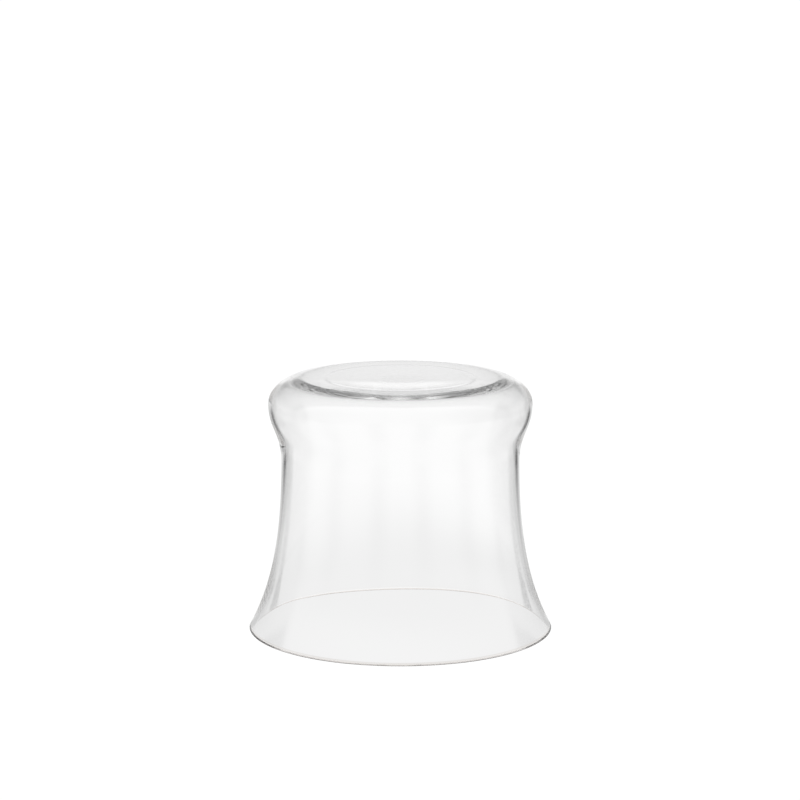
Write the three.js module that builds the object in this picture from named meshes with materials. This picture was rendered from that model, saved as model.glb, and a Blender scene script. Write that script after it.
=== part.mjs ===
// Glass cloche: a bell of clear blown glass that stands on its open rim.
// Units are millimetres and +Z is up. The origin is on the bell's axis, in the plane the rim rests on.

import * as THREE from 'three';

// Outside of the glass.
const rimDiameter = 230;
const waistDiameter = 180.2;
const waistHeight = 129.5;
const bulgeDiameter = 199.2;
const bulgeHeight = 173;
const crestDiameter = 146;
const overallHeight = 192.8;
const dishDepth = 1.8;

// Thickness of the glass from the rim up to the middle of the top. It is level in the wall, square
// to the flare at the rim, and upright in the top.
const rimThickness = 3.2;
const waistThickness = 2.8;
const bulgeThickness = 2.5;
const crestThickness = 3;
const topThickness = 3.5;
const innerCrestDiameter = 156;

// The rim flares out at this angle from upright and ends in a rolled lip with a narrow flat.
const flareAngle = THREE.MathUtils.degToRad(28);
const lipRadius = 0.7;

// How far each outline curve runs straight on along its end tangents.
const flareRimReach = 34.6;
const flareWaistReach = 60.5;
const innerRimReach = 30;
const innerWaistReach = 62;
const bulgeWaistReach = 22.2;
const bulgeReach = 17.9;
const dishReach = 30;

// Fineness of the facets.
const segmentsAround = 64;
const lipSteps = 3;
const flareSteps = 13;
const bulgeSteps = 7;
const shoulderSteps = 7;
const dishSteps = 6;

const rimRadius = rimDiameter / 2;
const waistRadius = waistDiameter / 2;
const bulgeRadius = bulgeDiameter / 2;
const crestRadius = crestDiameter / 2;
const innerCrestRadius = innerCrestDiameter / 2;

const point = (radius, height) => new THREE.Vector2(radius, height);

function curvePoints(start, startHandle, endHandle, end, steps) {
  return new THREE.CubicBezierCurve(start, startHandle, endHandle, end).getPoints(steps);
}

// One face of the wall: up the flared skirt to the waist, then out to the widest part of the bulge.
function wallPoints(start, atWaist, atBulge, rimReach, waistReach) {
  const alongFlare = point(-Math.sin(flareAngle), Math.cos(flareAngle));
  const waist = point(atWaist, waistHeight);
  return [
    ...curvePoints(
      start,
      start.clone().addScaledVector(alongFlare, rimReach),
      point(atWaist, waistHeight - waistReach),
      waist,
      flareSteps,
    ),
    ...curvePoints(
      waist,
      point(atWaist, waistHeight + bulgeWaistReach),
      point(atBulge, bulgeHeight - bulgeReach),
      point(atBulge, bulgeHeight),
      bulgeSteps,
    ),
  ];
}

// Quarter of an ellipse from the upright side of the bulge to the level crest.
function shoulderPoints(sideRadius, ridgeRadius, ridgeHeight) {
  const width = sideRadius - ridgeRadius;
  const rise = ridgeHeight - bulgeHeight;
  const arc = new THREE.EllipseCurve(ridgeRadius, bulgeHeight, width, rise, 0, Math.PI / 2);
  return arc.getPoints(shoulderSteps);
}

// Shallow dish from the crest in to the axis, level at both ends.
function dishPoints(ridgeRadius, ridgeHeight, centreHeight) {
  return curvePoints(
    point(ridgeRadius, ridgeHeight),
    point(ridgeRadius - dishReach, ridgeHeight),
    point(dishReach, centreHeight),
    point(0, centreHeight),
    dishSteps,
  );
}

// The lip: a small round on each side of the flat that the bell stands on.
function lipPoints() {
  const flatWidth = (rimThickness - 2 * lipRadius) / Math.cos(flareAngle);
  const outerCentre = rimRadius - lipRadius;
  const innerCentre = outerCentre - flatWidth;
  const down = -Math.PI / 2;
  const roundAt = (centre, from, to) => (
    new THREE.EllipseCurve(centre, lipRadius, lipRadius, lipRadius, from, to).getPoints(lipSteps)
  );
  return [
    ...roundAt(innerCentre, flareAngle - Math.PI, down),
    ...roundAt(outerCentre, down, 0),
    ...roundAt(outerCentre, 0, flareAngle),
  ];
}

// Keeps one of each pair of neighbouring points that meet where two curves join.
function withoutRepeats(points) {
  const smallest = 1e-6;
  return points.filter((p, i) => i === 0 || p.distanceTo(points[i - 1]) > smallest);
}

// The section through one side of the glass: down the inside, round the lip, up the outside.
function glassSection() {
  const lip = lipPoints();
  const innerCrestHeight = overallHeight - crestThickness;
  const dishHeight = overallHeight - dishDepth;
  const innerWaistRadius = waistRadius - waistThickness;
  const innerBulgeRadius = bulgeRadius - bulgeThickness;
  const inside = [
    ...wallPoints(lip.at(0), innerWaistRadius, innerBulgeRadius, innerRimReach, innerWaistReach),
    ...shoulderPoints(innerBulgeRadius, innerCrestRadius, innerCrestHeight),
    ...dishPoints(innerCrestRadius, innerCrestHeight, dishHeight - topThickness),
  ];
  const outside = [
    ...wallPoints(lip.at(-1), waistRadius, bulgeRadius, flareRimReach, flareWaistReach),
    ...shoulderPoints(bulgeRadius, crestRadius, overallHeight),
    ...dishPoints(crestRadius, overallHeight, dishHeight),
  ];
  return withoutRepeats([...inside.reverse(), ...lip, ...outside]);
}

const clearGlass = new THREE.MeshStandardMaterial({
  name: 'clear_glass',
  color: 0xf4f7f7,
  roughness: 0.03,
  metalness: 0,
  transparent: true,
  opacity: 0.35,
});

const bell = new THREE.Mesh(new THREE.LatheGeometry(glassSection(), segmentsAround), clearGlass);
bell.name = 'glass_bell';
bell.rotation.x = Math.PI / 2;

const group = new THREE.Group();
group.add(bell);

export default group;
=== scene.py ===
"""Glass cloche: a clear blown-glass bell, standing on its rim in a white studio.

Everything is in metres, +Z up. The origin is on the bell's axis, in the plane the rim rests on.
"""
import math
from collections import namedtuple

import bpy
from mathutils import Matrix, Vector
from mathutils.geometry import interpolate_bezier


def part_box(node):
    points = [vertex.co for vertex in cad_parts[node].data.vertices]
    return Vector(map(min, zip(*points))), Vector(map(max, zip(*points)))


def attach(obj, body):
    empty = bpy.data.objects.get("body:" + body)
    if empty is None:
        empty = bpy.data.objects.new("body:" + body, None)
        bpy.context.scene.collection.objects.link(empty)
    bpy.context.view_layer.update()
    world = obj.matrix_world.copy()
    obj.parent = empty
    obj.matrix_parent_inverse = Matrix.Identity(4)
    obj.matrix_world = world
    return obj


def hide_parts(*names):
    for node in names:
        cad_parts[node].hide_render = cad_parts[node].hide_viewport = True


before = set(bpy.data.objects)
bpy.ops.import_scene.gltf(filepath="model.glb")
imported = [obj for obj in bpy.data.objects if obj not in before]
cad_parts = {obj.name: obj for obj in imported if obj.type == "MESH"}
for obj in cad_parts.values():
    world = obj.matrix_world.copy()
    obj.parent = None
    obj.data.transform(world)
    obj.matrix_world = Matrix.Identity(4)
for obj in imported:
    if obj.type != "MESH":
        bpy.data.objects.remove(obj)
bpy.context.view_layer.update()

MM = 0.001

# Outside of the glass. The rim and the height come from the frame.
_, high_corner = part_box("glass_bell")
RIM_RADIUS = high_corner.x
HEIGHT = high_corner.z
WAIST_RADIUS = 90.1 * MM
WAIST_HEIGHT = 129.5 * MM
BULGE_RADIUS = 99.6 * MM
BULGE_HEIGHT = 173 * MM
CREST_RADIUS = 73 * MM
DISH_DEPTH = 1.8 * MM
FLARE_ANGLE = math.radians(28)
LIP_RADIUS = 0.7 * MM

# Inside of the glass, as its thickness at each station from the rim to the middle of the top.
RIM_THICKNESS = 3.2 * MM
WAIST_THICKNESS = 2.8 * MM
BULGE_THICKNESS = 2.5 * MM
CREST_THICKNESS = 3 * MM
TOP_THICKNESS = 3.5 * MM
INNER_CREST_RADIUS = 78 * MM

# Faint steps in the outside of the top: the edge of the dish, and the pontil that was ground off.
DISH_EDGE_RADIUS = 56 * MM
DISH_EDGE_WIDTH = 3 * MM
DISH_EDGE_DROP = 0.1 * MM
PONTIL_RADIUS = 18.5 * MM
PONTIL_EDGE = 2.5 * MM
PONTIL_DROP = 0.06 * MM

# How far each outline curve runs straight on along its end tangents.
FLARE_RIM_REACH = 34.6 * MM
FLARE_WAIST_REACH = 60.5 * MM
BULGE_WAIST_REACH = 22.2 * MM
BULGE_REACH = 17.9 * MM
INNER_RIM_REACH = 30 * MM
INNER_WAIST_REACH = 62 * MM
DISH_REACH = 30 * MM

# Fineness of the visible surface.
SEGMENTS_AROUND = 288
FLARE_STEPS = 48
BULGE_STEPS = 28
SHOULDER_STEPS = 28
DISH_STEPS = 90
LIP_STEPS = 8

# Slow unevenness that hand-blown glass keeps, felt on the inner face only. The waves wind round the
# bell as they climb it. They fade out in the lowest part of the skirt, and in the top towards the axis.
Wave = namedtuple("Wave", "count depth turn")
WAVES = (
    Wave(count=2, depth=0.10 * MM, turn=0.4),
    Wave(count=3, depth=0.06 * MM, turn=1.9),
    Wave(count=5, depth=0.03 * MM, turn=4.0),
)
WINDING = 9
FADE_HEIGHT = 0.2 * HEIGHT

# The look of the glass. The ripple's and the grain's scales are in waves per metre.
GLASS_INDEX = 1.5
RIPPLE_SCALE = 28
RIPPLE_DETAIL = 1
RIPPLE_STRENGTH = 0.25
RIPPLE_DEPTH = 0.05 * MM
GRAIN_SCALE = 900
GRAIN_DETAIL = 3
PONTIL_ROUGHNESS = 0.2
CLEAR = (1, 1, 1, 1)

# Painted shade on the rolled lip: its colour is made a little darker and warmer, standing in for the
# thin dark line of shade and refraction along the rim at the table. The painted shade starts at the
# first height and is full at the second.
LIP_PAINTED_SHADE = (0.82, 0.78, 0.75, 1)
LIP_PAINTED_SHADE_HEIGHTS = (2.2 * LIP_RADIUS, 1.8 * LIP_RADIUS)


def curve(start, start_handle, end_handle, end, steps):
    """Points along a Bezier curve in the plane of radius and height."""
    corners = [Vector((*p, 0)) for p in (start, start_handle, end_handle, end)]
    return [(p.x, p.y) for p in interpolate_bezier(*corners, steps + 1)]


def arc(centre, radii, first_angle, last_angle, steps):
    """Points along an ellipse's arc in the plane of radius and height."""
    points = []
    for step in range(steps + 1):
        angle = first_angle + (last_angle - first_angle) * step / steps
        points.append((centre[0] + radii[0] * math.cos(angle), centre[1] + radii[1] * math.sin(angle)))
    return points


def lip_centres():
    """Centres of the outer and inner rounds of the lip."""
    flat = (RIM_THICKNESS - 2 * LIP_RADIUS) / math.cos(FLARE_ANGLE)
    outer = (RIM_RADIUS - LIP_RADIUS, LIP_RADIUS)
    return outer, (outer[0] - flat, LIP_RADIUS)


def wall(start, rim_reach, waist, waist_reach, bulge):
    """Skirt and underside of the bulge, from a point on the lip up to the bulge's widest part."""
    along = (-math.sin(FLARE_ANGLE), math.cos(FLARE_ANGLE))
    handle = (start[0] + along[0] * rim_reach, start[1] + along[1] * rim_reach)
    flare = curve(start, handle, (waist[0], waist[1] - waist_reach), waist, FLARE_STEPS)
    under = curve(
        waist,
        (waist[0], waist[1] + BULGE_WAIST_REACH),
        (bulge[0], bulge[1] - BULGE_REACH),
        bulge,
        BULGE_STEPS,
    )
    return flare + under[1:]


def roof(bulge, crest, centre_height):
    """Shoulder and dish, from the bulge's widest part over the crest to the axis."""
    radii = (bulge[0] - crest[0], crest[1] - bulge[1])
    shoulder = arc((crest[0], bulge[1]), radii, 0, math.pi / 2, SHOULDER_STEPS)
    dish = curve(
        crest,
        (crest[0] - DISH_REACH, crest[1]),
        (DISH_REACH, centre_height),
        (0, centre_height),
        DISH_STEPS,
    )
    return shoulder + dish[1:]


def relief(radius):
    """Height of the faint tooled steps in the top: the edge of the dish, and the ground-off pontil."""
    height = 0
    dish_edge = (DISH_EDGE_RADIUS, DISH_EDGE_WIDTH, DISH_EDGE_DROP)
    pontil_edge = (PONTIL_RADIUS, PONTIL_EDGE, PONTIL_DROP)
    for edge, width, drop in (dish_edge, pontil_edge):
        share = min(1.0, max(0.0, (edge - radius) / width + 0.5))
        height -= drop * share * share * (3 - 2 * share)
    return height


def outside_section():
    """Outer face from the lip's outer round to the axis."""
    centre, _ = lip_centres()
    down_to_side = arc(centre, (LIP_RADIUS, LIP_RADIUS), -math.pi / 2, FLARE_ANGLE, LIP_STEPS)
    waist = (WAIST_RADIUS, WAIST_HEIGHT)
    bulge = (BULGE_RADIUS, BULGE_HEIGHT)
    side = wall(down_to_side[-1], FLARE_RIM_REACH, waist, FLARE_WAIST_REACH, bulge)
    top = roof(bulge, (CREST_RADIUS, HEIGHT), HEIGHT - DISH_DEPTH)
    return down_to_side + side[1:] + [(radius, height + relief(radius)) for radius, height in top[1:]]


def inside_section():
    """Inner face from the lip's inner round to the axis."""
    _, centre = lip_centres()
    down_to_side = arc(centre, (LIP_RADIUS, LIP_RADIUS), -math.pi / 2, FLARE_ANGLE - math.pi, LIP_STEPS)
    waist = (WAIST_RADIUS - WAIST_THICKNESS, WAIST_HEIGHT)
    bulge = (BULGE_RADIUS - BULGE_THICKNESS, BULGE_HEIGHT)
    side = wall(down_to_side[-1], INNER_RIM_REACH, waist, INNER_WAIST_REACH, bulge)
    crest = (INNER_CREST_RADIUS, HEIGHT - CREST_THICKNESS)
    top = roof(bulge, crest, HEIGHT - DISH_DEPTH - TOP_THICKNESS)
    return down_to_side + side[1:] + top[1:]


def unevenness(angle, height):
    """Inward push on the inner face of the wall. It fades out towards the lip."""
    fade = min(1.0, height / FADE_HEIGHT)
    climb = WINDING * height / HEIGHT
    push = sum(wave.depth * math.cos(wave.count * angle + wave.turn + climb) for wave in WAVES)
    return fade * push


def build_bell():
    """The bell as one closed skin: up the outer face, and back down the inner face."""
    outside = outside_section()
    inside = inside_section()
    rings = [(p, False) for p in reversed(outside[:-1])] + [(p, True) for p in inside[:-1]]
    vertices = [(0, 0, outside[-1][1])]
    for (radius, height), inner in rings:
        for segment in range(SEGMENTS_AROUND):
            angle = math.tau * segment / SEGMENTS_AROUND
            push = unevenness(angle, height) * min(1.0, radius / WAIST_RADIUS) if inner else 0
            reach = radius - push
            vertices.append((reach * math.cos(angle), reach * math.sin(angle), height))
    vertices.append((0, 0, inside[-1][1]))
    last = len(vertices) - 1
    faces = []
    for segment in range(SEGMENTS_AROUND):
        following = (segment + 1) % SEGMENTS_AROUND
        faces.append((0, 1 + segment, 1 + following))
        for ring in range(len(rings) - 1):
            here = 1 + ring * SEGMENTS_AROUND
            below = here + SEGMENTS_AROUND
            faces.append((here + segment, below + segment, below + following, here + following))
        end = 1 + (len(rings) - 1) * SEGMENTS_AROUND
        faces.append((last, end + following, end + segment))
    mesh = bpy.data.meshes.new("bell")
    mesh.from_pydata(vertices, [], faces)
    mesh.shade_smooth()
    mesh.update()
    bell = bpy.data.objects.new("bell", mesh)
    bpy.context.scene.collection.objects.link(bell)
    return bell


class Nodes:
    """Short calls for the arithmetic nodes of one node tree."""

    def __init__(self, tree):
        self.tree = tree

    def add(self, kind):
        return self.tree.nodes.new(kind)

    def feed(self, socket, value):
        if isinstance(value, (int, float)):
            socket.default_value = value
        else:
            self.tree.links.new(value, socket)

    def math(self, operation, *values):
        node = self.add("ShaderNodeMath")
        node.operation = operation
        for socket, value in zip(node.inputs, values):
            self.feed(socket, value)
        return node.outputs[0]

    def degrees(self, radians):
        return self.math("MULTIPLY", radians, 180 / math.pi)

    def noise(self, place, scale, detail):
        node = self.add("ShaderNodeTexNoise")
        node.inputs["Scale"].default_value = scale
        node.inputs["Detail"].default_value = detail
        self.feed(node.inputs["Vector"], place)
        return node.outputs["Fac"]

    def between(self, value, span, soft):
        """One inside the span and zero outside it, with a soft edge at each end."""
        low, high = span
        rise = self.step(value, low - soft, low + soft)
        return self.math("SUBTRACT", rise, self.step(value, high - soft, high + soft))

    def step(self, value, low, high):
        node = self.add("ShaderNodeMapRange")
        node.interpolation_type = "SMOOTHSTEP"
        self.feed(node.inputs[0], value)
        node.inputs[1].default_value = low
        node.inputs[2].default_value = high
        return node.outputs[0]

    def mix(self, share, first, second):
        return self.math("ADD", self.math("MULTIPLY", first, self.math("SUBTRACT", 1, share)),
                         self.math("MULTIPLY", second, share))


def clear_glass():
    """Clear glass with a slow drawn-out ripple, painted shade on the lip and a softly ground pontil."""
    material = bpy.data.materials.new("clear_glass")
    material.use_nodes = True
    n = Nodes(material.node_tree)
    shader = material.node_tree.nodes["Principled BSDF"]
    shader.inputs["Transmission Weight"].default_value = 1
    shader.inputs["IOR"].default_value = GLASS_INDEX
    place = n.add("ShaderNodeTexCoord").outputs["Object"]
    split = n.add("ShaderNodeSeparateXYZ")
    n.feed(split.inputs[0], place)
    x, y, z = split.outputs
    radius = n.math("SQRT", n.math("ADD", n.math("MULTIPLY", x, x), n.math("MULTIPLY", y, y)))
    # Painted shade: the base colour darkens and warms towards the foot of the lip, for the dark line
    # along the rim.
    lip_shade = n.add("ShaderNodeMix")
    lip_shade.data_type = "RGBA"
    n.feed(lip_shade.inputs["Factor"], n.step(z, *LIP_PAINTED_SHADE_HEIGHTS))
    lip_shade.inputs["A"].default_value = CLEAR
    lip_shade.inputs["B"].default_value = LIP_PAINTED_SHADE
    n.feed(shader.inputs["Base Color"], lip_shade.outputs["Result"])
    on_top = n.math("GREATER_THAN", z, HEIGHT - DISH_DEPTH - TOP_THICKNESS / 2)
    inside_pontil = n.step(radius, PONTIL_RADIUS, PONTIL_RADIUS - PONTIL_EDGE)
    pontil = n.math("MULTIPLY", on_top, inside_pontil)
    grain = n.math("MULTIPLY", n.noise(place, GRAIN_SCALE, GRAIN_DETAIL), PONTIL_ROUGHNESS)
    n.feed(shader.inputs["Roughness"], n.math("MULTIPLY", pontil, grain))
    bump = n.add("ShaderNodeBump")
    bump.inputs["Strength"].default_value = RIPPLE_STRENGTH
    bump.inputs["Distance"].default_value = RIPPLE_DEPTH
    n.feed(bump.inputs["Height"], n.noise(place, RIPPLE_SCALE, RIPPLE_DETAIL))
    n.feed(shader.inputs["Normal"], bump.outputs["Normal"])
    return material


# The studio that the glass sees: an even grey surround, and cards laid over it in this order. Bearings
# run from straight behind the bell (0) round either side to the camera's side (180), and elevations
# from straight down (-90) to straight up (90), in degrees. A span that runs past the end of its scale
# has no edge there. Softness is half the width of a card's soft edge.
Card = namedtuple("Card", "bearings elevations tone softness")
PAST = 999
ALL = (-PAST, PAST)
SURROUND = 0.62
BACKDROP_SIDE = 11
BACKDROP_FOOT = -14
BACKDROP_TOP = 8
SIDE_FLAGS = (68, 112, 158)
SIDE_FLAG_HALF_WIDTH = 6


def side_flag(middle):
    """Grey flag with wide soft edges, round this bearing."""
    bearings = (middle - SIDE_FLAG_HALF_WIDTH, middle + SIDE_FLAG_HALF_WIDTH)
    return Card(bearings, (-40, 5), tone=0.6, softness=10)


CARDS = (
    # The lit room on the camera's side, and the dark ceiling over the rest.
    Card((78, PAST), ALL, tone=0.88, softness=6),
    Card((-PAST, 75), (10, PAST), tone=0.15, softness=3),
    # The white table all round, and the stretch of it that leads back to the backdrop.
    Card(ALL, (-PAST, -20), tone=0.85, softness=3),
    Card((-PAST, BACKDROP_SIDE), (-PAST, BACKDROP_FOOT), tone=0.92, softness=2.5),
    # The white backdrop, and the narrow strip of it that is still lit higher up.
    Card((-PAST, BACKDROP_SIDE), (BACKDROP_FOOT, BACKDROP_TOP), tone=1, softness=2.5),
    Card((-PAST, 2), (BACKDROP_TOP, 25), tone=0.7, softness=1),
    # Grey flags round the sides and at the camera's end, for the shading at the foot of the bulge.
    *(side_flag(middle) for middle in SIDE_FLAGS),
    # A black flag low on each side, for the dark lines inside the edges of the glass.
    Card((22, 34), (-60, -11), tone=0.1, softness=2),
)

# What the camera sees beside the bell, the backdrop and the table top, is lit to just past white.
PURE_WHITE = 1.05
WHITE = (1, 1, 1, 1)
BLACK = (0, 0, 0, 1)
TABLE_HALF_WIDTH = 3

# The camera: where it stands, its angle below level, its lens in millimetres and how far it sees.
EYE = (-0.0003, -2.1, 0.5587)
LOOK_DOWN = math.radians(10.35)
FOCAL_LENGTH = 127.64
CLEAR_SIGHT = 50


def studio_world():
    """Plain soft studio light from all round, laid out as cards."""
    world = bpy.data.worlds.new("studio")
    bpy.context.scene.world = world
    world.use_nodes = True
    tree = world.node_tree
    tree.nodes.clear()
    n = Nodes(tree)
    direction = n.add("ShaderNodeTexCoord").outputs["Generated"]
    split = n.add("ShaderNodeSeparateXYZ")
    n.feed(split.inputs[0], direction)
    bearing = n.degrees(n.math("ABSOLUTE", n.math("ARCTAN2", split.outputs[0], split.outputs[1])))
    elevation = n.degrees(n.math("ARCSINE", split.outputs[2]))
    tone = SURROUND
    for card in CARDS:
        across = n.between(bearing, card.bearings, card.softness)
        upright = n.between(elevation, card.elevations, card.softness)
        tone = n.mix(n.math("MULTIPLY", across, upright), tone, card.tone)
    seen_by_glass = n.add("ShaderNodeBackground")
    seen_by_glass.inputs["Color"].default_value = WHITE
    n.feed(seen_by_glass.inputs["Strength"], tone)
    seen_directly = n.add("ShaderNodeBackground")
    seen_directly.inputs["Color"].default_value = WHITE
    seen_directly.inputs["Strength"].default_value = PURE_WHITE
    choose = n.add("ShaderNodeMixShader")
    n.feed(choose.inputs[0], n.add("ShaderNodeLightPath").outputs["Is Camera Ray"])
    n.feed(choose.inputs[1], seen_by_glass.outputs[0])
    n.feed(choose.inputs[2], seen_directly.outputs[0])
    n.feed(n.add("ShaderNodeOutputWorld").inputs["Surface"], choose.outputs[0])


def white_table():
    """A lit white table top under the bell. The glass takes its light from the world instead."""
    half = TABLE_HALF_WIDTH
    corners = [(-half, -half, 0), (half, -half, 0), (half, half, 0), (-half, half, 0)]
    mesh = bpy.data.meshes.new("table")
    mesh.from_pydata(corners, [], [(0, 1, 2, 3)])
    table = bpy.data.objects.new("table", mesh)
    bpy.context.scene.collection.objects.link(table)
    material = bpy.data.materials.new("lit_white")
    material.use_nodes = True
    shader = material.node_tree.nodes["Principled BSDF"]
    shader.inputs["Base Color"].default_value = BLACK
    shader.inputs["Specular IOR Level"].default_value = 0
    shader.inputs["Emission Color"].default_value = WHITE
    shader.inputs["Emission Strength"].default_value = PURE_WHITE
    mesh.materials.append(material)
    table.visible_transmission = False
    table.visible_glossy = False
    table.visible_diffuse = False
    table.visible_shadow = False


def camera():
    """Long lens from a little above the bell, looking slightly down."""
    data = bpy.data.cameras.new("camera")
    data.lens = FOCAL_LENGTH
    data.clip_end = CLEAR_SIGHT
    eye = bpy.data.objects.new("camera", data)
    eye.location = EYE
    level_view = math.radians(90)
    eye.rotation_euler = (level_view - LOOK_DOWN, 0, 0)
    bpy.context.scene.collection.objects.link(eye)
    bpy.context.scene.camera = eye


def light_paths():
    """Light is guided far inside the wall, so it needs many bounces before it leaves the glass."""
    guided_bounces = 160
    scene = bpy.context.scene
    scene.cycles.max_bounces = guided_bounces
    scene.cycles.transmission_bounces = guided_bounces
    scene.cycles.glossy_bounces = guided_bounces
    scene.view_settings.view_transform = "Standard"


camera()
bell = build_bell()
bell.data.materials.append(clear_glass())
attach(bell, "root")
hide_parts("glass_bell")
studio_world()
white_table()
light_paths()
